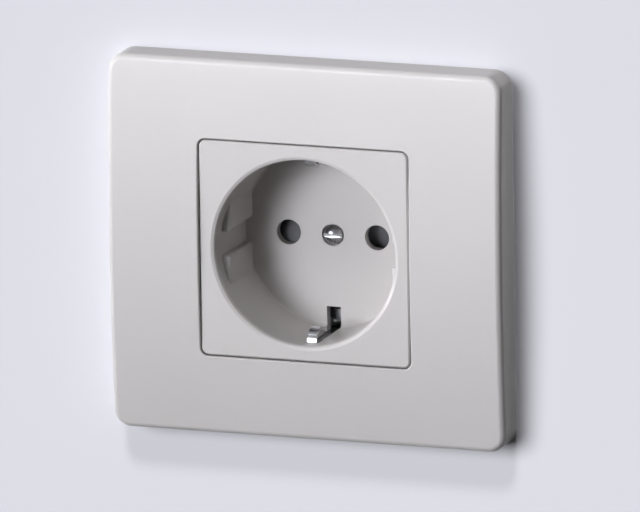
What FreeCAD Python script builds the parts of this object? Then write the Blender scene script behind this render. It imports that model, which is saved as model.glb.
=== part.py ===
import FreeCAD, Part
import math
import os

V = FreeCAD.Vector

# A flush wall socket for round plugs with two pins and side earth contacts.
# The wall is the plane y = 0, the room is on the -Y side, +Z is up, and the origin is on the plug's axis.

# Frame
frame_width = 84.2
frame_height = 78.0
frame_edge_depth = 7.0
frame_crown = 1.7
frame_corner_radius = 3.6
frame_edge_round = 1.2
frame_opening_bevel = 0.2
frame_wall = 2.0
frame_ledge = 0.9
frame_ledge_thickness = 1.4
frame_skirt_wall = 1.6
frame_rib_thickness = 1.0
frame_rib_clearance = 1.2

# Cover and plug well
cover_rim = 3.05
cover_gap = 0.3
cover_plate = 2.5
cover_corner_radius = 1.4
cover_edge_bevel = 0.3
well_diameter = 38.6
well_depth = 17.5
well_wall = 1.0
well_floor = 2.0
well_lip_round = 0.85
well_corner_bevel = 0.4
guide_depth = 1.95
guide_setback = 4.0
guide_notch = 5.2
guide_bevel = 0.4
pin_spacing = 19.0
pin_hole_diameter = 5.2
boss_radius = 3.0
key_size = 2.6
key_length = 3.0
key_offset = 11.6

# Centre screw
centre_head_diameter = 4.2
centre_head_height = 1.6
centre_head_rim = 0.5
centre_head_recess = 0.6
centre_head_clearance = 0.25
centre_screw_diameter = 2.9
centre_screw_overrun = 3.0

# Earth strap and clips
strap_thickness = 0.7
strap_width = 6.0
strap_bend_radius = 1.3
clip_width = 2.0
clip_reach = 3.2
clip_nose_radius = 2.4
clip_tail = 6.0
clip_tail_rise = 2.0
clip_lean = 0.2
clip_neck_clearance = 1.0
earth_slot_margin = 0.5
earth_slot_reach = 4.3
earth_slot_setback = 3.5

# Base and rear cover
base_side_margin = 2.1
base_end_inset = 0.1
base_length = 17.6
base_corner_radius = 4.0
base_partition = 1.3
shutter_pocket_depth = 3.8
rear_cover_thickness = 2.0
hook_width = 8.0
hook_length = 5.0
hook_thickness = 1.2
hook_barb = 0.7
hook_barb_length = 1.4

# Shutter and its spring
shutter_rim = 0.6
shutter_hub_radius = 5.0
shutter_hub_thickness = 1.6
wing_root_lap = 0.8
shutter_ramp_setback = 0.8
shutter_overlap = 0.35
shutter_ramp_low = 1.0
shutter_travel_deg = 36.0
stop_rib_length = 3.8
stop_rib_thickness = 1.2
spring_strip = 0.25
spring_height = 1.2
spring_bend_radius = 0.4
spring_tip_gap = 1.1
spring_boss_clearance = 0.375
spring_rest_gap = 0.5

# Contacts and terminals
contact_sheet = 0.6
contact_length = 10.0
contact_pinch = 4.4
contact_flare = 0.9
contact_pinch_depth = 3.0
contact_bend_radius = 1.2
terminal_web_gap = 0.6
terminal_inset = 5.2
earth_terminal_inset = 4.2
terminal_screw_diameter = 3.4
terminal_head_diameter = 5.6
terminal_head_height = 2.2
terminal_nut_size = 6.4
terminal_nut_thickness = 2.8
terminal_wire_gap = 4.4

# Support ring
ring_margin = 1.5
ring_sheet = 1.0
ring_corner_cut = 9.0
ring_hole_corner_radius = 3.0
ring_bend_radius = 0.6
ring_slot_edge = 5.5
ring_slot_width = 3.6
ring_slot_length = 7.0
leg_offset = 8.6
leg_width = 7.0
leg_lap = 12.5
leg_root = 3.0
rivet_diameter = 2.8
rivet_head_diameter = 4.4
rivet_head_height = 0.8
rivet_grip = 1.5
rivet_setback = 4.5

# Fits shared by all pieces
thread_clearance = 0.05
slide_clearance = 0.1
loose_clearance = 0.2
running_clearance = 0.3
pocket_clearance = 0.4
slot_width = 0.8
slot_depth = 0.9

# Positions that follow from the sizes above
well_radius = well_diameter / 2
well_outer_radius = well_radius + well_wall
cover_size = well_diameter + 2 * cover_rim
opening_half = cover_size / 2 + cover_gap
ledge_half = opening_half - frame_ledge
skirt_half = opening_half + frame_skirt_wall
crest_y = -(frame_edge_depth + frame_crown)
crown_radius = ((frame_height / 2) ** 2 + frame_crown ** 2) / (2 * frame_crown)


def crown_y(z, inset=0.0):
    """The front's y at height z, on a surface the given distance behind the frame's face."""
    radius = crown_radius - inset
    return crest_y + crown_radius - math.sqrt(radius ** 2 - z ** 2)


ring_front_y = -ring_sheet
room_y = 2 * crest_y
face_y = crown_y(opening_half)
plate_back_y = face_y + cover_plate
ledge_back_y = plate_back_y + frame_ledge_thickness
floor_y = face_y + well_depth
floor_back_y = floor_y + well_floor
base_front_y = floor_back_y + slide_clearance
base_back_y = base_front_y + base_length
pocket_floor_y = base_front_y + shutter_pocket_depth
strap_front_y = pocket_floor_y
strap_back_y = strap_front_y + strap_thickness
chamber_front_y = pocket_floor_y + base_partition
tab_front_y = chamber_front_y + contact_sheet
tab_back_y = tab_front_y + contact_sheet
pin_offset = pin_spacing / 2
guide_x = well_radius - guide_depth
clip_z = well_radius - clip_reach
earth_slot_width = clip_width + 2 * earth_slot_margin
base_width = 2 * (well_outer_radius + base_side_margin)
base_height = 2 * (well_outer_radius - base_end_inset)
nut_half = terminal_nut_size / 2
terminal_offset = base_width / 2 - terminal_inset
web_outer_x = terminal_offset - nut_half - terminal_web_gap
contact_width = 2 * (web_outer_x - contact_sheet - pin_offset)
earth_terminal_offset = base_height / 2 - earth_terminal_inset
shutter_radius = pin_offset + pin_hole_diameter / 2 + shutter_rim
shutter_pocket_radius = shutter_radius + pocket_clearance
spring_leg_radius = shutter_pocket_radius - spring_tip_gap
spring_mean_radius = boss_radius + spring_boss_clearance + spring_strip / 2
ring_size = min(frame_width, frame_height) - 2 * (frame_wall + ring_margin)
ring_slot_spacing = ring_size - 2 * ring_slot_edge
leg_reach = base_front_y + leg_lap
arm_inner_z = well_outer_radius + loose_clearance
arm_middle_z = arm_inner_z + strap_thickness / 2
slot_front_y = face_y + earth_slot_setback
clip_y = slot_front_y + loose_clearance + strap_thickness / 2
leaf_inner_z = contact_pinch / 2
leaf_outer_z = leaf_inner_z + contact_sheet
chamber_half_z = leaf_outer_z + contact_flare + slide_clearance
chamber_inner_x = pin_offset - contact_width / 2 - pocket_clearance
terminal_pocket_half = nut_half + pocket_clearance
head_recess_radius = terminal_head_diameter / 2 + pocket_clearance
wing_inner_radius = shutter_hub_radius - wing_root_lap
wing_half_angle = math.degrees(math.asin((pin_hole_diameter / 2 + shutter_overlap) / pin_offset))


def block(x0, x1, y0, y1, z0, z1):
    return Part.makeBox(x1 - x0, y1 - y0, z1 - z0, V(x0, y0, z0))


def rod(radius, y0, y1, x=0.0, z=0.0):
    """A round bar along Y."""
    return Part.makeCylinder(radius, y1 - y0, V(x, y0, z), V(0, 1, 0))


def edges_along(shape, axis):
    """The straight edges of a shape that run along an axis."""
    found = []
    for edge in shape.Edges:
        if isinstance(edge.Curve, Part.Line) and abs(edge.Curve.Direction.dot(axis)) > 0.999:
            found.append(edge)
    return found


def rounded_slab(width, height, radius, y0, y1):
    """A block on the plug's axis with round corners seen from the room."""
    slab = block(-width / 2, width / 2, y0, y1, -height / 2, height / 2)
    return slab.makeFillet(radius, edges_along(slab, V(0, 1, 0)))


def rounded_face(corners):
    """A flat face from (point, corner radius) pairs taken in order round its outline."""
    edges = []
    previous_end = None
    first_start = None
    count = len(corners)
    for index in range(count):
        point, radius = corners[index]
        before = (corners[index - 1][0] - point).normalize()
        after = (corners[(index + 1) % count][0] - point).normalize()
        half_angle = before.getAngle(after) / 2
        reach = radius / math.tan(half_angle)
        start = point + before * reach
        end = point + after * reach
        if previous_end is None:
            first_start = start
        else:
            edges.append(Part.makeLine(previous_end, start))
        if radius > 0:
            bisector = (before + after).normalize()
            middle = point + bisector * (radius / math.sin(half_angle) - radius)
            edges.append(Part.Arc(start, middle, end).toShape())
        previous_end = end
    edges.append(Part.makeLine(previous_end, first_start))
    return Part.Face(Part.Wire(edges))


def strip_corners(path, thickness, normal):
    """Outline corners of a bent strip that follows a path of (point, bend radius) in a plane."""
    half = thickness / 2
    left_side = []
    right_side = []
    last = len(path) - 1
    for index in range(last + 1):
        point, radius = path[index]
        ahead = path[min(index + 1, last)][0] - path[min(index, last - 1)][0]
        behind = path[max(index, 1)][0] - path[max(index - 1, 0)][0]
        side_ahead = normal.cross(ahead).normalize()
        side_behind = normal.cross(behind).normalize()
        offset = (side_ahead + side_behind) * (half / (1 + side_ahead.dot(side_behind)))
        turn = math.copysign(half, behind.cross(ahead).dot(normal)) if radius > 0 else 0.0
        left_side.append((point + offset, radius - turn))
        right_side.append((point - offset, radius + turn))
    return left_side + right_side[::-1]


def bent_strip(path, thickness, width):
    """A bent sheet-metal strip whose path lies in the YZ plane, centred on x = 0."""
    face = rounded_face(strip_corners(path, thickness, V(1, 0, 0)))
    face.translate(V(-width / 2, 0, 0))
    return face.extrude(V(width, 0, 0))


def crowned_block(width, height, inset=0.0):
    """The frame's block on the wall, with a front that follows the crown."""
    low = V(-width / 2, crown_y(height / 2, inset), -height / 2)
    top = V(-width / 2, crown_y(height / 2, inset), height / 2)
    crest = V(-width / 2, crown_y(0, inset), 0)
    wall_top = V(-width / 2, 0, height / 2)
    wall_low = V(-width / 2, 0, -height / 2)
    edges = [Part.Arc(low, crest, top).toShape()]
    edges.append(Part.makeLine(top, wall_top))
    edges.append(Part.makeLine(wall_top, wall_low))
    edges.append(Part.makeLine(wall_low, low))
    return Part.Face(Part.Wire(edges)).extrude(V(width, 0, 0))


def front_edges(shape, limit_y):
    """The edges that lie wholly in front of a plane, apart from straight ones along Y."""
    straight = edges_along(shape, V(0, 1, 0))
    found = []
    for edge in shape.Edges:
        if edge.BoundBox.YMax < limit_y and not any(edge.isSame(other) for other in straight):
            found.append(edge)
    return found


def wall_frame():
    body = crowned_block(frame_width, frame_height)
    body = body.makeFillet(frame_corner_radius, edges_along(body, V(0, 1, 0)))
    body = body.makeFillet(frame_edge_round, front_edges(body, -frame_edge_depth / 2))
    hollow = crowned_block(frame_width - 2 * frame_wall, frame_height - 2 * frame_wall, frame_wall)
    hollow = hollow.makeFillet(frame_corner_radius - frame_wall, edges_along(hollow, V(0, 1, 0)))
    body = body.cut(hollow)
    skirt = rounded_slab(2 * skirt_half, 2 * skirt_half, cover_corner_radius, plate_back_y, ring_front_y)
    additions = [skirt]
    rib_back_y = ring_front_y - frame_rib_clearance
    for side in (-1, 1):
        additions.append(frame_rib(side, rib_back_y, True))
        additions.append(frame_rib(side, rib_back_y, False))
    body = body.multiFuse(additions)
    opening_radius = cover_corner_radius + cover_gap
    opening = rounded_slab(2 * opening_half, 2 * opening_half, opening_radius, room_y, plate_back_y)
    passage = rounded_slab(2 * ledge_half, 2 * ledge_half, cover_corner_radius, room_y, 0)
    relief = rounded_slab(2 * opening_half, 2 * opening_half, opening_radius, ledge_back_y, 0)
    body = body.cut(opening).cut(passage).cut(relief).removeSplitter()
    return body.makeChamfer(frame_opening_bevel, opening_edges(body))


def opening_edges(body):
    """The edges where the frame's front meets its opening for the cover."""
    limit = opening_half + frame_opening_bevel
    found = []
    for edge in front_edges(body, plate_back_y - cover_plate / 2):
        box = edge.BoundBox
        if max(box.XMax, -box.XMin, box.ZMax, -box.ZMin) < limit:
            found.append(edge)
    return found


def frame_rib(side, back_y, across):
    """A stiffening rib between the skirt and the middle of one outer wall."""
    half = frame_rib_thickness / 2
    inner = side * (skirt_half - frame_skirt_wall / 2)
    if across:
        low, high = sorted((inner, side * (frame_width - frame_wall) / 2))
        return block(low, high, crown_y(half, frame_wall / 2), back_y, -half, half)
    outer = (frame_height - frame_wall) / 2
    low, high = sorted((inner, side * outer))
    return block(-half, half, crown_y(outer, frame_wall / 2), back_y, low, high)


def well_cutter():
    """The round hollow of the plug well, turned about Y; its lip is rounded in two narrow bevels."""
    lip_radius = well_radius + well_lip_round
    slant = math.sqrt(0.5)
    lip_middle = V(lip_radius - well_lip_round * slant, face_y + well_lip_round * (1 - slant), 0)
    outline = [
        V(lip_radius, room_y, 0),
        V(lip_radius, face_y, 0),
        lip_middle,
        V(well_radius, face_y + well_lip_round, 0),
        V(well_radius, floor_y - well_corner_bevel, 0),
        V(well_radius - well_corner_bevel, floor_y, 0),
        V(0, floor_y, 0),
        V(0, room_y, 0),
    ]
    return Part.Face(Part.makePolygon(outline + outline[:1])).revolve(V(0, 0, 0), V(0, 1, 0), 360)


def guide_block(side, end):
    """One of the four flat-faced blocks that guide the plug, beside the notch in the well's wall."""
    front_y = face_y + guide_setback
    back_y = floor_y + well_floor / 2
    notch = guide_notch / 2
    bar = block(guide_x, well_outer_radius, front_y, back_y, notch, well_outer_radius)
    bevelled = []
    for edge in bar.Edges:
        box = edge.BoundBox
        on_flat = box.XMax < guide_x + guide_bevel / 2
        if on_flat and (box.YMax < front_y + guide_bevel / 2 or box.ZMax < notch + guide_bevel / 2):
            bevelled.append(edge)
    bar = bar.makeChamfer(guide_bevel, bevelled)
    bar = bar.common(rod(well_radius + well_wall / 2, front_y, back_y))
    if side < 0:
        bar = bar.mirror(V(0, 0, 0), V(1, 0, 0))
    if end < 0:
        bar = bar.mirror(V(0, 0, 0), V(0, 0, 1))
    return bar


def socket_cover():
    plate = rounded_slab(cover_size, cover_size, cover_corner_radius, face_y, plate_back_y)
    plate = plate.makeChamfer(cover_edge_bevel, front_edges(plate, plate_back_y - cover_plate / 2))
    cup = rod(well_outer_radius, face_y + cover_plate / 2, floor_back_y)
    body = plate.fuse(cup).cut(well_cutter())
    additions = [rod(boss_radius, floor_y + well_floor / 2, strap_front_y - slide_clearance)]
    for side in (-1, 1):
        for end in (-1, 1):
            additions.append(guide_block(side, end))
        additions.append(locating_key(side, floor_y + well_floor / 2, floor_back_y + key_length, 0))
    body = body.multiFuse(additions)
    cuts = []
    for side in (-1, 1):
        cuts.append(rod(pin_hole_diameter / 2, floor_y - well_floor, floor_back_y, side * pin_offset))
        low, high = sorted((side * (well_radius - earth_slot_reach), side * (well_outer_radius + well_wall)))
        half = earth_slot_width / 2
        cuts.append(block(-half, half, slot_front_y, floor_back_y, low, high))
    recess_radius = centre_head_diameter / 2 + centre_head_clearance
    cuts.append(rod(recess_radius, floor_y - well_floor, floor_y + centre_head_recess))
    shank_radius = centre_screw_diameter / 2 + slide_clearance
    cuts.append(rod(shank_radius, floor_y, strap_front_y))
    return body.cut(cuts).removeSplitter()


def locating_key(side, start_y, end_y, clearance):
    """A square key on a diagonal of the well's floor that stops the cover from turning on the base."""
    half = key_size / 2 + clearance
    middle = side * key_offset
    return block(middle - half, middle + half, start_y, end_y, middle - half, middle + half)


def slotted_screw(shank_radius, head_radius, head_height, length):
    """A cheese-head screw along +Y with its head's seat at the origin and a slot along X."""
    screw = rod(head_radius, -head_height, 0).fuse(rod(shank_radius, -head_height / 2, length))
    return screw.cut(driver_slot(head_radius, head_height))


def driver_slot(head_radius, head_height):
    low_y = -2 * head_height
    return block(-head_radius, head_radius, low_y, slot_depth - head_height, -slot_width / 2, slot_width / 2)


def moved(shape, x, y, z):
    copy = shape.copy()
    copy.translate(V(x, y, z))
    return copy


def centre_screw():
    """A round-headed screw: the dome is part of a ball that rises from the head's low straight rim."""
    seat_y = floor_y + centre_head_recess
    length = strap_back_y + centre_screw_overrun - seat_y
    head_radius = centre_head_diameter / 2
    dome = centre_head_height - centre_head_rim
    ball_radius = (head_radius ** 2 + dome ** 2) / (2 * dome)
    ball = Part.makeSphere(ball_radius, V(0, ball_radius - centre_head_height, 0), V(0, 1, 0))
    head = ball.common(rod(head_radius, -centre_head_height, 0))
    screw = head.fuse(rod(centre_screw_diameter / 2, -centre_head_rim, length))
    screw = screw.cut(driver_slot(head_radius, centre_head_height))
    return moved(screw, 0, seat_y, 0)


def earth_strap():
    path = [
        (V(0, strap_front_y + strap_thickness / 2, 0), 0.0),
        (V(0, strap_front_y + strap_thickness / 2, arm_middle_z), strap_bend_radius),
        (V(0, clip_y, arm_middle_z), strap_bend_radius),
        (V(0, clip_y + clip_lean, clip_z), clip_nose_radius),
        (V(0, clip_y + clip_lean + clip_tail, clip_z + clip_tail_rise), 0.0),
    ]
    upper = bent_strip(path, strap_thickness, strap_width)
    neck_y = clip_y + strap_bend_radius + clip_neck_clearance
    for side in (-1, 1):
        low, high = sorted((side * clip_width / 2, side * strap_width))
        neck = block(low, high, room_y, neck_y, 0, arm_inner_z + strap_width)
        inside = block(low, high, room_y, floor_back_y, 0, arm_inner_z - thread_clearance)
        upper = upper.cut([neck, inside])
    strap = upper.fuse(upper.mirror(V(0, 0, 0), V(0, 0, 1)))
    centre_hole = rod(centre_screw_diameter / 2 + thread_clearance, strap_front_y, strap_back_y)
    terminal_hole = rod(
        terminal_screw_diameter / 2 + slide_clearance, strap_front_y, strap_back_y, 0, -earth_terminal_offset)
    return strap.cut(centre_hole).cut(terminal_hole).removeSplitter()


def terminal_screw(x, z, seat_y):
    length = contact_sheet + terminal_wire_gap + terminal_nut_thickness + slide_clearance
    shank_radius = terminal_screw_diameter / 2
    head_radius = terminal_head_diameter / 2
    return moved(slotted_screw(shank_radius, head_radius, terminal_head_height, length), x, seat_y, z)


def terminal_nut(x, z, sheet_back_y):
    """A square clamp nut, backed off to leave the gap that the wire goes into."""
    front_y = sheet_back_y + terminal_wire_gap
    back_y = front_y + terminal_nut_thickness
    nut = block(x - nut_half, x + nut_half, front_y, back_y, z - nut_half, z + nut_half)
    return nut.cut(rod(terminal_screw_diameter / 2 + thread_clearance, front_y, back_y, x, z))


def right_contact():
    """Two sprung leaves on a web, with a tab folded outward for the terminal screw."""
    end_y = tab_front_y + contact_length
    inner_x = pin_offset - contact_width / 2
    outer_x = pin_offset + contact_width / 2
    middle_z = leaf_inner_z + contact_sheet / 2
    path = [
        (V(0, tab_front_y + contact_sheet, middle_z + contact_flare), 0.0),
        (V(0, tab_front_y + contact_pinch_depth, middle_z), contact_bend_radius),
        (V(0, end_y, middle_z + contact_flare / 2), 0.0),
    ]
    leaf = bent_strip(path, contact_sheet, outer_x - inner_x)
    leaf.translate(V(pin_offset, 0, 0))
    web_half = middle_z + contact_flare / 2
    web = block(outer_x, web_outer_x, tab_front_y, end_y, -web_half, web_half)
    tab_outer_x = terminal_offset + nut_half
    tab = block(outer_x, tab_outer_x, tab_front_y, tab_back_y, -web_half, web_half)
    sheet = leaf.multiFuse([leaf.mirror(V(0, 0, 0), V(0, 0, 1)), web, tab])
    hole_radius = terminal_screw_diameter / 2 + slide_clearance
    return sheet.cut(rod(hole_radius, tab_front_y, tab_back_y, terminal_offset)).removeSplitter()


def stop_rib(face_angle_deg, turn):
    """A rib on the pocket's wall; one side lies on the given angle and its body lies beyond it."""
    inner_x = shutter_pocket_radius - stop_rib_length
    outer_x = shutter_pocket_radius + pocket_clearance
    low, high = sorted((0.0, turn * stop_rib_thickness))
    rib = block(inner_x, outer_x, base_front_y, pocket_floor_y, low, high)
    rib.rotate(V(0, 0, 0), V(0, -1, 0), face_angle_deg)
    return rib


def angle_of(width, radius):
    """The angle in degrees that a width takes up at a radius."""
    return math.degrees(math.asin(width / radius))


def spring_leg_angles():
    """Angles of the spring's legs: one on the shutter's leading side, one on the fixed rib."""
    moving = wing_half_angle + angle_of(spring_strip / 2 + thread_clearance, wing_inner_radius)
    return moving, moving + shutter_travel_deg + angle_of(spring_rest_gap, wing_inner_radius)


def socket_base():
    body = rounded_slab(base_width, base_height, base_corner_radius, base_front_y, base_back_y)
    pocket = rod(shutter_pocket_radius, base_front_y, pocket_floor_y)
    rib_inner_radius = shutter_pocket_radius - stop_rib_length
    rest_angle = -wing_half_angle - angle_of(running_clearance, rib_inner_radius)
    spring_angle = spring_leg_angles()[1] + angle_of(spring_strip / 2 + thread_clearance, rib_inner_radius)
    pocket = pocket.cut([stop_rib(rest_angle, -1), stop_rib(spring_angle, 1)])
    groove_half = strap_width / 2 + slide_clearance
    groove_floor_y = strap_back_y + thread_clearance
    half_height = base_height / 2
    cuts = [pocket, block(-groove_half, groove_half, base_front_y, groove_floor_y, -half_height, half_height)]
    screw_end_y = strap_back_y + centre_screw_overrun + slide_clearance
    cuts.append(rod(centre_screw_diameter / 2 + pocket_clearance, strap_front_y, screw_end_y))
    for side in (-1, 1):
        cuts.append(line_chamber(side))
        cuts.append(rod(pin_hole_diameter / 2, base_front_y, chamber_front_y, side * pin_offset))
        cuts.append(rod(head_recess_radius, base_front_y, tab_front_y, side * terminal_offset))
        key_end_y = floor_back_y + key_length + slide_clearance
        cuts.append(locating_key(side, base_front_y, key_end_y, slide_clearance))
        cuts.append(hook_notch(side))
        cuts.append(rivet_hole(side))
    cuts.append(earth_chamber(groove_floor_y))
    return body.cut(cuts).removeSplitter()


def line_chamber(side):
    """The space for one line contact and its terminal, with the wire's way in at the side."""
    pocket_outer_x = terminal_offset + terminal_pocket_half
    window_back_y = tab_back_y + terminal_wire_gap
    nest_outer_x = web_outer_x + slide_clearance
    half = terminal_pocket_half
    nest = block(
        chamber_inner_x, nest_outer_x, chamber_front_y, base_back_y, -chamber_half_z, chamber_half_z)
    terminal = block(web_outer_x, pocket_outer_x, tab_front_y, base_back_y, -half, half)
    window = block(pocket_outer_x, base_width / 2, tab_back_y, window_back_y, -half, half)
    space = nest.multiFuse([terminal, window])
    return space if side > 0 else space.mirror(V(0, 0, 0), V(1, 0, 0))


def earth_chamber(front_y):
    """The space behind the strap for the earth terminal, with the wire's way in from below."""
    half = terminal_pocket_half
    low_z = -earth_terminal_offset - half
    nest = block(-half, half, front_y, base_back_y, low_z, -earth_terminal_offset + half)
    window = block(-half, half, front_y, strap_back_y + terminal_wire_gap, -base_height / 2, low_z)
    return nest.fuse(window)


def rivet_y():
    return leg_reach - rivet_setback


def rivet_hole(side):
    """A hole along X for a leg's rivet, through the leg and into the base."""
    start = V(side * (base_width / 2 - rivet_grip), rivet_y(), side * leg_offset)
    radius = rivet_diameter / 2 + thread_clearance
    return Part.makeCylinder(radius, rivet_grip + ring_sheet, start, V(side, 0, 0))


def ring_rivet(side):
    place = V(side * (base_width / 2 + ring_sheet), rivet_y(), side * leg_offset)
    head = Part.makeCylinder(rivet_head_diameter / 2, rivet_head_height, place, V(side, 0, 0))
    length = ring_sheet + rivet_grip - thread_clearance
    shank = Part.makeCylinder(rivet_diameter / 2, length, place, V(-side, 0, 0))
    return head.fuse(shank)


def ring_leg(side):
    """A leg folded back from the edge of the ring's hole, as one profile with a round bend."""
    inner_x = base_width / 2
    path = [
        (V(inner_x + leg_root + ring_sheet, -ring_sheet / 2, 0), 0.0),
        (V(inner_x + ring_sheet / 2, -ring_sheet / 2, 0), ring_bend_radius + ring_sheet / 2),
        (V(inner_x + ring_sheet / 2, leg_reach, 0), 0.0),
    ]
    face = rounded_face(strip_corners(path, ring_sheet, V(0, 0, 1)))
    leg = face.extrude(V(0, 0, leg_width))
    leg.translate(V(0, 0, leg_offset - leg_width / 2))
    if side < 0:
        leg.rotate(V(0, 0, 0), V(0, 1, 0), 180)
    return leg


def ring_slot(turned):
    """A slot for a wall-box screw, long towards the middle, before it is moved to its place."""
    straight = (ring_slot_length - ring_slot_width) / 2
    radius = ring_slot_width / 2
    bar = block(-straight, straight, ring_front_y, 0, -radius, radius)
    slot = bar.multiFuse([rod(radius, ring_front_y, 0, -straight), rod(radius, ring_front_y, 0, straight)])
    if turned:
        slot.rotate(V(0, 0, 0), V(0, 1, 0), 90)
    return slot.removeSplitter()


def support_ring():
    plate = block(-ring_size / 2, ring_size / 2, ring_front_y, 0, -ring_size / 2, ring_size / 2)
    plate = plate.makeChamfer(ring_corner_cut, edges_along(plate, V(0, 1, 0)))
    plate = plate.cut(rounded_slab(base_width, base_width, ring_hole_corner_radius, ring_front_y, 0))
    legs = []
    gaps = []
    for side in (-1, 1):
        low, high = sorted((side * (leg_offset - leg_width / 2), side * (leg_offset + leg_width / 2)))
        near, far = sorted((side * base_width / 2, side * (base_width / 2 + leg_root)))
        gaps.append(block(near, far, ring_front_y, 0, low, high))
        legs.append(ring_leg(side))
    plate = plate.cut(gaps).multiFuse(legs)
    cuts = []
    for side in (-1, 1):
        cuts.append(moved(ring_slot(False), side * ring_slot_spacing / 2, 0, 0))
        cuts.append(moved(ring_slot(True), 0, 0, side * ring_slot_spacing / 2))
        cuts.append(rivet_hole(side))
    return plate.cut(cuts).removeSplitter()


def rear_cover():
    """A flat lid with a snap hook above and below."""
    back_y = base_back_y + rear_cover_thickness
    plate = rounded_slab(base_width, base_height, base_corner_radius, base_back_y, back_y)
    return plate.multiFuse([snap_hook(-1), snap_hook(1)]).removeSplitter()


def snap_hook(side):
    """A springy arm along the base's top or bottom face, with a barb that sits in a notch."""
    inner_z = base_height / 2 + thread_clearance
    outer_z = inner_z + hook_thickness
    barb_z = inner_z - hook_barb
    root_y = base_back_y + rear_cover_thickness
    tip_y = base_back_y - hook_length
    outline = [
        V(-hook_width / 2, root_y, inner_z - hook_thickness),
        V(-hook_width / 2, root_y, outer_z),
        V(-hook_width / 2, tip_y, outer_z),
        V(-hook_width / 2, tip_y, inner_z),
        V(-hook_width / 2, tip_y + hook_barb_length, barb_z),
        V(-hook_width / 2, tip_y + hook_barb_length, inner_z),
        V(-hook_width / 2, base_back_y, inner_z),
        V(-hook_width / 2, base_back_y, inner_z - hook_thickness),
    ]
    hook = Part.Face(Part.makePolygon(outline + outline[:1])).extrude(V(hook_width, 0, 0))
    return hook if side > 0 else hook.mirror(V(0, 0, 0), V(0, 0, 1))


def hook_notch(side):
    """The notch in the base that a snap hook's barb sits in."""
    half = hook_width / 2 + slide_clearance
    tip_y = base_back_y - hook_length
    outer_z = side * base_height / 2
    low, high = sorted((outer_z, outer_z - side * (hook_barb + slide_clearance)))
    return block(-half, half, tip_y - slide_clearance, tip_y + hook_barb_length + slide_clearance, low, high)


def shutter_wing(front_y, back_y):
    """One wedge-shaped wing about +X, with a front that slopes back towards its leading side."""
    wing = Part.makeCylinder(
        shutter_radius, back_y - front_y, V(0, front_y, 0), V(0, 1, 0), 2 * wing_half_angle)
    middle = wing.CenterOfMass
    wing.rotate(V(0, 0, 0), V(0, -1, 0), -math.degrees(math.atan2(middle.z, middle.x)))
    wing = wing.cut(rod(wing_inner_radius, front_y, back_y))
    reach = shutter_radius * math.sin(math.radians(wing_half_angle))
    ramp_x = shutter_hub_radius + shutter_ramp_setback
    outline = [
        V(ramp_x, front_y, reach),
        V(ramp_x, back_y - shutter_ramp_low, -reach),
        V(ramp_x, front_y, -reach),
    ]
    ramp = Part.Face(Part.makePolygon(outline + outline[:1])).extrude(V(shutter_radius, 0, 0))
    return wing.cut(ramp)


def shutter():
    """Two wings on a hub; a pin pressed on the sloping fronts turns them aside."""
    front_y = floor_back_y + running_clearance
    back_y = pocket_floor_y - running_clearance
    hub = rod(shutter_hub_radius, front_y, front_y + shutter_hub_thickness)
    near_wing = shutter_wing(front_y, back_y)
    far_wing = near_wing.copy()
    far_wing.rotate(V(0, 0, 0), V(0, 1, 0), 180)
    body = hub.multiFuse([near_wing, far_wing])
    return body.cut(rod(boss_radius + loose_clearance, front_y, back_y)).removeSplitter()


def spring_leg(angle_deg, turn, y):
    """Points of one leg from its tip to the coil: tip, bend end, bend middle and coil start."""
    centre_radius = spring_mean_radius + spring_bend_radius
    shift = math.asin(spring_bend_radius / centre_radius)
    angle = math.radians(angle_deg)
    outward = V(math.cos(angle), 0, math.sin(angle))
    to_centre = V(math.cos(angle - turn * shift), 0, math.sin(angle - turn * shift))
    axis_point = V(0, y, 0)
    centre = axis_point + to_centre * centre_radius
    coil_start = axis_point + to_centre * spring_mean_radius
    bend_end = axis_point + outward * (centre_radius * math.cos(shift))
    halfway = ((coil_start - centre) + (bend_end - centre)).normalize()
    tip = axis_point + outward * spring_leg_radius
    return tip, bend_end, centre + halfway * spring_bend_radius, coil_start


def shutter_spring():
    """A one-turn leg spring of flat strip round the cover's boss, behind the shutter's hub."""
    moving, fixed = spring_leg_angles()
    low_y = floor_back_y + running_clearance + shutter_hub_thickness + slide_clearance
    tip, bend_end, bend_middle, coil_start = spring_leg(moving, 1, low_y)
    far_tip, far_bend_end, far_bend_middle, coil_end = spring_leg(fixed, -1, low_y)
    far_angle = math.radians((moving + fixed) / 2 + 180)
    coil_middle = V(math.cos(far_angle), 0, math.sin(far_angle)) * spring_mean_radius + V(0, low_y, 0)
    edges = [Part.makeLine(tip, bend_end)]
    edges.append(Part.Arc(bend_end, bend_middle, coil_start).toShape())
    edges.append(Part.Arc(coil_start, coil_middle, coil_end).toShape())
    edges.append(Part.Arc(coil_end, far_bend_middle, far_bend_end).toShape())
    edges.append(Part.makeLine(far_bend_end, far_tip))
    across = V(0, 1, 0).cross(tip - bend_end).normalize() * (spring_strip / 2)
    high = V(0, spring_height, 0)
    corners = [tip - across, tip + across, tip + across + high, tip - across + high]
    section = Part.makePolygon(corners + corners[:1])
    return Part.Wire(edges).makePipeShell([section], True, False)


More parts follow.
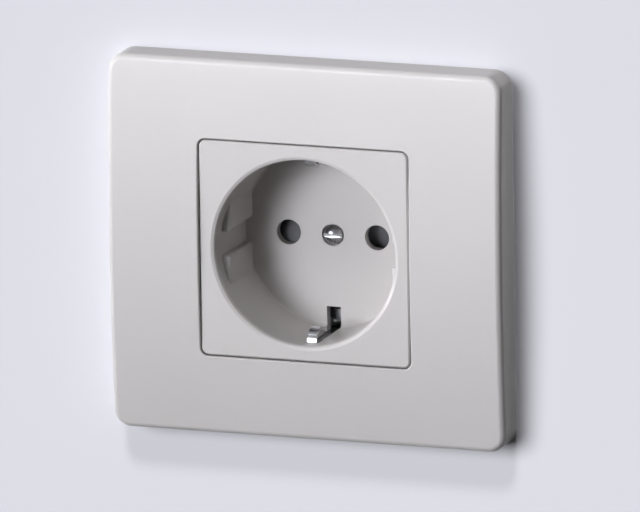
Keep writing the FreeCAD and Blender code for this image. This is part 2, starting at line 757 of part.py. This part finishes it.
def build():
    pieces = {
        "wall_frame": wall_frame(),
        "socket_cover": socket_cover(),
        "centre_screw": centre_screw(),
        "earth_strap": earth_strap(),
        "support_ring": support_ring(),
        "socket_base": socket_base(),
        "rear_cover": rear_cover(),
        "right_contact": right_contact(),
        "left_contact": right_contact().mirror(V(0, 0, 0), V(1, 0, 0)),
        "shutter": shutter(),
        "shutter_spring": shutter_spring(),
    }
    terminals = (
        ("left", -terminal_offset, 0.0, tab_front_y, tab_back_y),
        ("right", terminal_offset, 0.0, tab_front_y, tab_back_y),
        ("earth", 0.0, -earth_terminal_offset, strap_front_y, strap_back_y),
    )
    for name, x, z, seat_y, back_y in terminals:
        pieces[name + "_terminal_screw"] = terminal_screw(x, z, seat_y)
        pieces[name + "_terminal_nut"] = terminal_nut(x, z, back_y)
    for side, side_name in ((-1, "left"), (1, "right")):
        pieces[side_name + "_ring_rivet"] = ring_rivet(side)
    return pieces


os.makedirs("parts", exist_ok=True)
for name, shape in build().items():
    shape.exportStep("parts/" + name + ".step")
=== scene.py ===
import math

import bmesh
import bpy
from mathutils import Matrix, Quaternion, Vector


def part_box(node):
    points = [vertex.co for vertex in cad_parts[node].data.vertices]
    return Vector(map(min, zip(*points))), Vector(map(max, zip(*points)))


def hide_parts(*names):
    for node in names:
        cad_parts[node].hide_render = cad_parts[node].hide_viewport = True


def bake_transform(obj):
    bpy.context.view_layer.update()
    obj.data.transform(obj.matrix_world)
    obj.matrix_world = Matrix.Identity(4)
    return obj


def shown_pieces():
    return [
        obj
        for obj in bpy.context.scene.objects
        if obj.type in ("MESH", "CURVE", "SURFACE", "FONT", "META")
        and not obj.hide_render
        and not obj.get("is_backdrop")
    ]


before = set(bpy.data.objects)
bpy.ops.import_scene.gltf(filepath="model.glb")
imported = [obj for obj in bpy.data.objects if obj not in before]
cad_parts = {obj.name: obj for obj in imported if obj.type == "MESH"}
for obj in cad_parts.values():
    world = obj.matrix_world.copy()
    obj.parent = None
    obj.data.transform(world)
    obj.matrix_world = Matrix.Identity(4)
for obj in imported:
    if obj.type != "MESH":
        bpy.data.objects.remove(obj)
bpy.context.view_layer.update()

# The photograph's frame, in pixels, and where the middle of the cover's face lies in it
image_width = 640
image_height = 512
pixels_per_metre = 4944.0
face_pixel_x = 304.1
face_pixel_y = 254.2

# Camera
camera_azimuth = 19.7
camera_elevation = 13.5
camera_roll = -0.86
camera_distance = 3.5
sensor_width = 36.0

# Wall
wall_half = 3.0
wall_hole_half = 0.033
wall_gap = 0.00005
wall_colour = (0.78, 0.78, 0.85)

# Soft panels that light the part: angles in degrees seen from the part, where azimuth 180 is behind the wall,
# and power in watts. A panel without a beam shines to all sides, and one without an aim faces the origin.
panel_distance = 0.9
open_beam = 180
origin = (0.0, 0.0, 0.0)
cool_light = (0.985, 1.0, 1.065)
plain_light = (1.0, 1.0, 1.03)
warm_light = (1.0, 0.98, 0.90)
panels = (
    dict(name="key_lamp", azimuth=-22, elevation=13, size=(0.61, 0.41), power=0.90,
         beam=37, aim=(0.06, 0.0, 0.14), colour=cool_light),
    dict(name="side_lamp", azimuth=-66, elevation=10, size=(0.30, 0.45), power=0.43,
         beam=36, aim=(0.12, 0.0, 0.13)),
    dict(name="top_lamp", azimuth=0, elevation=55, size=(0.50, 0.10), power=1.6),
    dict(name="overhead_lamp", azimuth=0, elevation=86, size=(0.50, 0.06), power=0.70),
    dict(name="right_lamp", azimuth=88, elevation=40, size=(0.06, 0.30), power=0.65, colour=warm_light),
    dict(name="rear_left_lamp", azimuth=235, elevation=25, size=(1.00, 1.00), power=6.0),
    dict(name="rear_right_lamp", azimuth=118, elevation=30, size=(0.70, 0.70), power=5.0),
    dict(name="back_lamp", azimuth=180, elevation=0, size=(0.50, 0.50), power=3.0, through_wall=True),
)

# Far lamps that light the wall, with the angle that each seems wide
suns = (
    dict(name="overhead_wall_lamp", azimuth=0, elevation=56, angle=10, strength=0.95),
    dict(name="left_wall_lamp", azimuth=-26, elevation=9, angle=38, strength=2.65),
)

# Surroundings: an even dim light, and the room that is seen directly and in reflections,
# as tones from straight below (0) to straight above (1)
ambient = 0.015
room_tones = ((0.0, 0.28), (0.16, 0.32), (0.25, 0.55), (0.52, 0.60), (0.66, 0.38), (1.0, 0.34))
room_tint = (1.0, 1.0, 1.04)

# Finishes; a softness is the radius that a sharp edge is seen to have
edge_softness = 0.00015
sheet_softness = 0.00012
strip_softness = 0.00005
softness_samples = 6
skin_roughness = 0.12
plastic_specular = 0.25
metal_specular = 0.5
white_colour = (0.55, 0.53, 0.515)
base_colour = (0.42, 0.42, 0.41)
shutter_colour = (0.12, 0.12, 0.127)
zinc_colour = (0.60, 0.61, 0.62)
plated_colour = (0.36, 0.365, 0.38)
spring_colour = (0.60, 0.61, 0.63)
brass_colour = (0.76, 0.57, 0.27)


def node(tree, kind, inputs=None, **settings):
    """A shader node; an input given as a socket is linked, and one given as a value is set."""
    made = tree.nodes.new("ShaderNode" + kind)
    for name, value in settings.items():
        setattr(made, name, value)
    for name, value in (inputs or {}).items():
        if isinstance(value, bpy.types.NodeSocket):
            tree.links.new(value, made.inputs[name])
        else:
            made.inputs[name].default_value = value
    return made


def empty_tree(owner):
    """The emptied shader tree of a material or a world."""
    owner.use_nodes = True
    owner.node_tree.nodes.clear()
    return owner.node_tree


def shade(colour, tone):
    """A colour made darker or lighter by a tone, as shader values."""
    return (colour[0] * tone, colour[1] * tone, colour[2] * tone, 1.0)


def new_surface(name):
    """A new material with one principled shader."""
    material = bpy.data.materials.new(name)
    tree = empty_tree(material)
    shader = node(tree, "BsdfPrincipled")
    node(tree, "OutputMaterial", {"Surface": shader.outputs["BSDF"]})
    return material, tree, shader


def noise(tree, scale, detail=2.0, stretch=(1.0, 1.0, 1.0)):
    """Noise over the part's own frame, from 0 to 1."""
    place = node(tree, "TexCoord").outputs["Object"]
    mapped = node(tree, "Mapping", {"Vector": place, "Scale": stretch}).outputs["Vector"]
    return node(tree, "TexNoise", {"Vector": mapped, "Scale": scale, "Detail": detail}).outputs[0]


def spread(tree, factor, low, high, start=0.3, end=0.7):
    """A factor taken from its usual range to a range of values."""
    inputs = {"Value": factor, "From Min": start, "From Max": end, "To Min": low, "To Max": high}
    return node(tree, "MapRange", inputs).outputs["Result"]


def tones(tree, factor, colour, dark, light, start=0.3, end=0.7):
    """A colour that runs from a darker to a lighter tone with a factor."""
    ramp = node(tree, "ValToRGB", {"Fac": factor})
    for element, place, tone in zip(ramp.color_ramp.elements, (start, end), (dark, light)):
        element.position = place
        element.color = shade(colour, tone)
    return ramp.outputs["Color"]


def softened(tree, softness):
    """The surface's normal with softened edges."""
    return node(tree, "Bevel", {"Radius": softness}, samples=softness_samples).outputs["Normal"]


def relief(tree, height, depth, softness=edge_softness):
    """A normal with softened edges and a fine relief of the given depth."""
    inputs = {"Height": height, "Strength": 1.0, "Distance": depth, "Normal": softened(tree, softness)}
    return node(tree, "Bump", inputs).outputs["Normal"]


def finish(tree, shader, colour, roughness, normal, metallic=0.0):
    """Links what varies over the surface and sets what is the same all over it."""
    tree.links.new(colour, shader.inputs["Base Color"])
    tree.links.new(roughness, shader.inputs["Roughness"])
    tree.links.new(normal, shader.inputs["Normal"])
    shader.inputs["Metallic"].default_value = metallic
    shader.inputs["Specular IOR Level"].default_value = metal_specular if metallic else plastic_specular


def moulded_plastic(name, colour, roughness, grain, skin_gloss):
    """Moulded plastic: faint flow tones, uneven gloss and a fine spark-eroded grain under a smooth skin."""
    material, tree, shader = new_surface(name)
    tone = tones(tree, noise(tree, scale=45.0, detail=3.0), colour, dark=0.985, light=1.01)
    patches = noise(tree, scale=900.0, detail=3.0)
    gloss = spread(tree, patches, low=roughness - 0.02, high=roughness + 0.02)
    normal = relief(tree, noise(tree, scale=5200.0, detail=1.0), depth=grain)
    finish(tree, shader, tone, gloss, normal)
    tree.links.new(softened(tree, edge_softness), shader.inputs["Coat Normal"])
    shader.inputs["Coat Weight"].default_value = skin_gloss
    shader.inputs["Coat Roughness"].default_value = skin_roughness
    return material


def speckled_plastic(name, colour):
    """Filled moulding compound: fine dark specks in a matt ground."""
    material, tree, shader = new_surface(name)
    specks = noise(tree, scale=2600.0, detail=4.0)
    tone = tones(tree, specks, colour, dark=0.72, light=1.06, start=0.30, end=0.48)
    gloss = spread(tree, noise(tree, scale=700.0, detail=3.0), low=0.48, high=0.62)
    normal = relief(tree, noise(tree, scale=3800.0, detail=2.0), depth=0.000012)
    finish(tree, shader, tone, gloss, normal)
    return material


def rolled_metal(name, colour, roughness, streak, depth):
    """Sheet or wire metal: rolling streaks along one direction over cloudy tones."""
    material, tree, shader = new_surface(name)
    lines = noise(tree, scale=700.0, detail=4.0, stretch=streak)
    tone = tones(tree, noise(tree, scale=260.0, detail=4.0), colour, dark=0.90, light=1.05)
    gloss = spread(tree, lines, low=roughness - 0.03, high=roughness + 0.04)
    normal = relief(tree, lines, depth, strip_softness)
    finish(tree, shader, tone, gloss, normal, metallic=1.0)
    return material


def zinc_sheet(name, colour):
    """Zinc-coated sheet: a faint crystal pattern with its own gloss in each crystal."""
    material, tree, shader = new_surface(name)
    place = node(tree, "TexCoord").outputs["Object"]
    cells = node(tree, "TexVoronoi", {"Vector": place, "Scale": 320.0, "Randomness": 1.0})
    crystal = node(tree, "SeparateColor", {"Color": cells.outputs["Color"]}).outputs[0]
    tone = tones(tree, crystal, colour, dark=0.86, light=1.08, start=0.0, end=1.0)
    gloss = spread(tree, crystal, low=0.30, high=0.44, start=0.0, end=1.0)
    normal = relief(tree, noise(tree, scale=1500.0, detail=4.0), depth=0.000008, softness=sheet_softness)
    finish(tree, shader, tone, gloss, normal, metallic=1.0)
    return material


def tarnished_brass(name, colour):
    """Brass strip with a thin brown tarnish in patches."""
    material, tree, shader = new_surface(name)
    patches = noise(tree, scale=380.0, detail=5.0)
    tone = tones(tree, patches, colour, dark=0.62, light=1.05)
    gloss = spread(tree, patches, low=0.46, high=0.24)
    lines = noise(tree, scale=900.0, detail=4.0, stretch=(1.0, 0.1, 1.0))
    normal = relief(tree, lines, depth=0.000008, softness=sheet_softness)
    finish(tree, shader, tone, gloss, normal, metallic=1.0)
    return material


def wall_paint():
    """Matt paint, seen from the room only, so that the part can be looked at from behind."""
    material = bpy.data.materials.new("wall_paint")
    tree = empty_tree(material)
    paint = node(tree, "BsdfDiffuse", {"Color": (*wall_colour, 1.0)})
    clear = node(tree, "BsdfTransparent")
    behind = node(tree, "NewGeometry").outputs["Backfacing"]
    one_sided = node(tree, "MixShader", {0: behind, 1: paint.outputs[0], 2: clear.outputs[0]})
    node(tree, "OutputMaterial", {"Surface": one_sided.outputs[0]})
    return material


def make_wall():
    """The wall as a flat ring of four panels round the hole for the wall box."""
    mesh = bpy.data.meshes.new("wall")
    shape = bmesh.new()
    corners = ((-1, -1), (1, -1), (1, 1), (-1, 1))
    inner = [shape.verts.new((x * wall_hole_half, wall_gap, z * wall_hole_half)) for x, z in corners]
    outer = [shape.verts.new((x * wall_half, wall_gap, z * wall_half)) for x, z in corners]
    for index in range(len(corners)):
        after = (index + 1) % len(corners)
        shape.faces.new((outer[index], outer[after], inner[after], inner[index]))
    shape.to_mesh(mesh)
    shape.free()
    mesh.materials.append(wall_paint())
    wall = bpy.data.objects.new("wall", mesh)
    bpy.context.scene.collection.objects.link(wall)
    # The part has lamps of its own, so no light from the wall falls on it
    wall.visible_diffuse = False
    wall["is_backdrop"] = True
    return wall


def dress_nodes():
    """Gives every solid the finish that its material slot names."""
    finishes = {
        "white_plastic": moulded_plastic(
            "satin_white_plastic", white_colour, roughness=0.42, grain=0.000003, skin_gloss=0.25),
        "base_plastic": speckled_plastic("grey_moulding_compound", base_colour),
        "shutter_plastic": moulded_plastic(
            "dark_shutter_plastic", shutter_colour, roughness=0.45, grain=0.000006, skin_gloss=0.0),
        "zinc_steel": zinc_sheet("zinc_coated_sheet", zinc_colour),
        "plated_steel": rolled_metal(
            "plated_screw_steel", plated_colour, roughness=0.20, streak=(1.0, 0.15, 1.0), depth=0.0000005),
        "spring_metal": rolled_metal(
            "bright_spring_strip", spring_colour, roughness=0.19, streak=(1.0, 0.12, 0.12), depth=0.0000006),
        "contact_brass": tarnished_brass("contact_strip_brass", brass_colour),
    }
    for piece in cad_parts.values():
        for slot in piece.material_slots:
            slot.material = finishes[slot.material.name.split(".")[0]]


def bend_spring():
    """The shutter's spring as a copy that stands in place of the hidden solid, with its placing baked into
    its mesh.
    """
    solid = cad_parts["shutter_spring"]
    spring = bpy.data.objects.new("shutter_leg_spring", solid.data.copy())
    bpy.context.scene.collection.objects.link(spring)
    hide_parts("shutter_spring")
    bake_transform(spring)


def room_direction(azimuth, elevation):
    """The direction from the part to a point in the room."""
    turn = math.radians(azimuth)
    rise = math.radians(elevation)
    return Vector((math.sin(turn) * math.cos(rise), -math.cos(turn) * math.cos(rise), math.sin(rise)))


def point_lamp(lamp, place, target):
    """Puts a lamp at a place and turns it to a target."""
    lamp.location = place
    lamp.rotation_mode = "QUATERNION"
    lamp.rotation_quaternion = (target - place).to_track_quat("-Z", "Y")


def add_lamp(name, kind, receivers):
    """A lamp that lights only the receivers and isn't seen itself."""
    lamp = bpy.data.objects.new(name, bpy.data.lights.new(name, kind))
    lamp.visible_camera = False
    lamp.light_linking.receiver_collection = receivers
    bpy.context.scene.collection.objects.link(lamp)
    return lamp


def panel_lamp(receivers, name, azimuth, elevation, size, power, beam=open_beam, aim=origin,
               colour=plain_light, through_wall=False):
    """A soft panel whose beam falls off to the sides of its aim; one behind the wall may shine through it."""
    lamp = add_lamp(name, "AREA", receivers)
    if through_wall:
        lamp.light_linking.blocker_collection = receivers
    lamp.data.shape = "RECTANGLE"
    lamp.data.size, lamp.data.size_y = size
    lamp.data.energy = power
    lamp.data.color = colour
    lamp.data.spread = math.radians(beam)
    point_lamp(lamp, room_direction(azimuth, elevation) * panel_distance, Vector(aim))


def far_lamp(receivers, name, azimuth, elevation, angle, strength):
    """Light from far away that seems as wide as the angle, in degrees."""
    lamp = add_lamp(name, "SUN", receivers)
    lamp.data.angle = math.radians(angle)
    lamp.data.energy = strength
    point_lamp(lamp, room_direction(azimuth, elevation), Vector(origin))


def make_lamps(wall):
    """The object and the wall have lamps of their own."""
    part = bpy.data.collections.new("lit_part")
    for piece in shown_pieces():
        part.objects.link(piece)
    backdrop = bpy.data.collections.new("lit_wall")
    backdrop.objects.link(wall)
    for panel in panels:
        panel_lamp(part, **panel)
    for sun in suns:
        far_lamp(backdrop, **sun)


def make_world():
    """A dim even light; seen directly and in reflections it is a pale room."""
    world = bpy.data.worlds.new("pale_room")
    bpy.context.scene.world = world
    tree = empty_tree(world)
    direction = node(tree, "TexCoord").outputs["Generated"]
    height = node(tree, "SeparateXYZ", {"Vector": direction}).outputs["Z"]
    ramp = node(tree, "ValToRGB", {"Fac": spread(tree, height, low=0.0, high=1.0, start=-1.0, end=1.0)})
    stops = ramp.color_ramp.elements
    while len(stops) < len(room_tones):
        stops.new(1.0)
    for stop, (place, tone) in zip(stops, room_tones):
        stop.position = place
        stop.color = shade(room_tint, tone)
    rays = node(tree, "LightPath")
    seen = rays.outputs["Is Camera Ray"]
    for kind in ("Is Glossy Ray", "Is Transmission Ray"):
        seen = node(tree, "Math", {0: seen, 1: rays.outputs[kind]}, operation="ADD").outputs[0]
    dim = node(tree, "Background", {"Color": (ambient, ambient, ambient, 1.0)})
    room = node(tree, "Background", {"Color": ramp.outputs["Color"]})
    mixed = node(tree, "MixShader", {0: seen, 1: dim.outputs[0], 2: room.outputs[0]})
    node(tree, "OutputWorld", {"Surface": mixed.outputs[0]})


def make_camera():
    """A long lens from the photograph's direction, with the cover's face at its place in the frame."""
    back = room_direction(camera_azimuth, camera_elevation)
    turn = (-back).to_track_quat("-Z", "Y") @ Quaternion((0, 0, 1), math.radians(camera_roll))
    cover_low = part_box("socket_cover")[0]
    face = Vector((0.0, cover_low.y, 0.0))
    across = turn @ Vector((1, 0, 0)) * ((image_width / 2 - face_pixel_x) / pixels_per_metre)
    upward = turn @ Vector((0, 1, 0)) * ((face_pixel_y - image_height / 2) / pixels_per_metre)
    lens = bpy.data.cameras.new("camera")
    lens.sensor_width = sensor_width
    lens.lens = camera_distance * pixels_per_metre * sensor_width / image_width
    lens.clip_end = 2 * (camera_distance + wall_half)
    camera = bpy.data.objects.new("camera", lens)
    camera.rotation_mode = "QUATERNION"
    camera.rotation_quaternion = turn
    camera.location = face + across + upward + back * camera_distance
    bpy.context.scene.collection.objects.link(camera)
    bpy.context.scene.camera = camera


bpy.context.scene.view_settings.view_transform = "Standard"
dress_nodes()
bend_spring()
make_lamps(make_wall())
make_world()
make_camera()
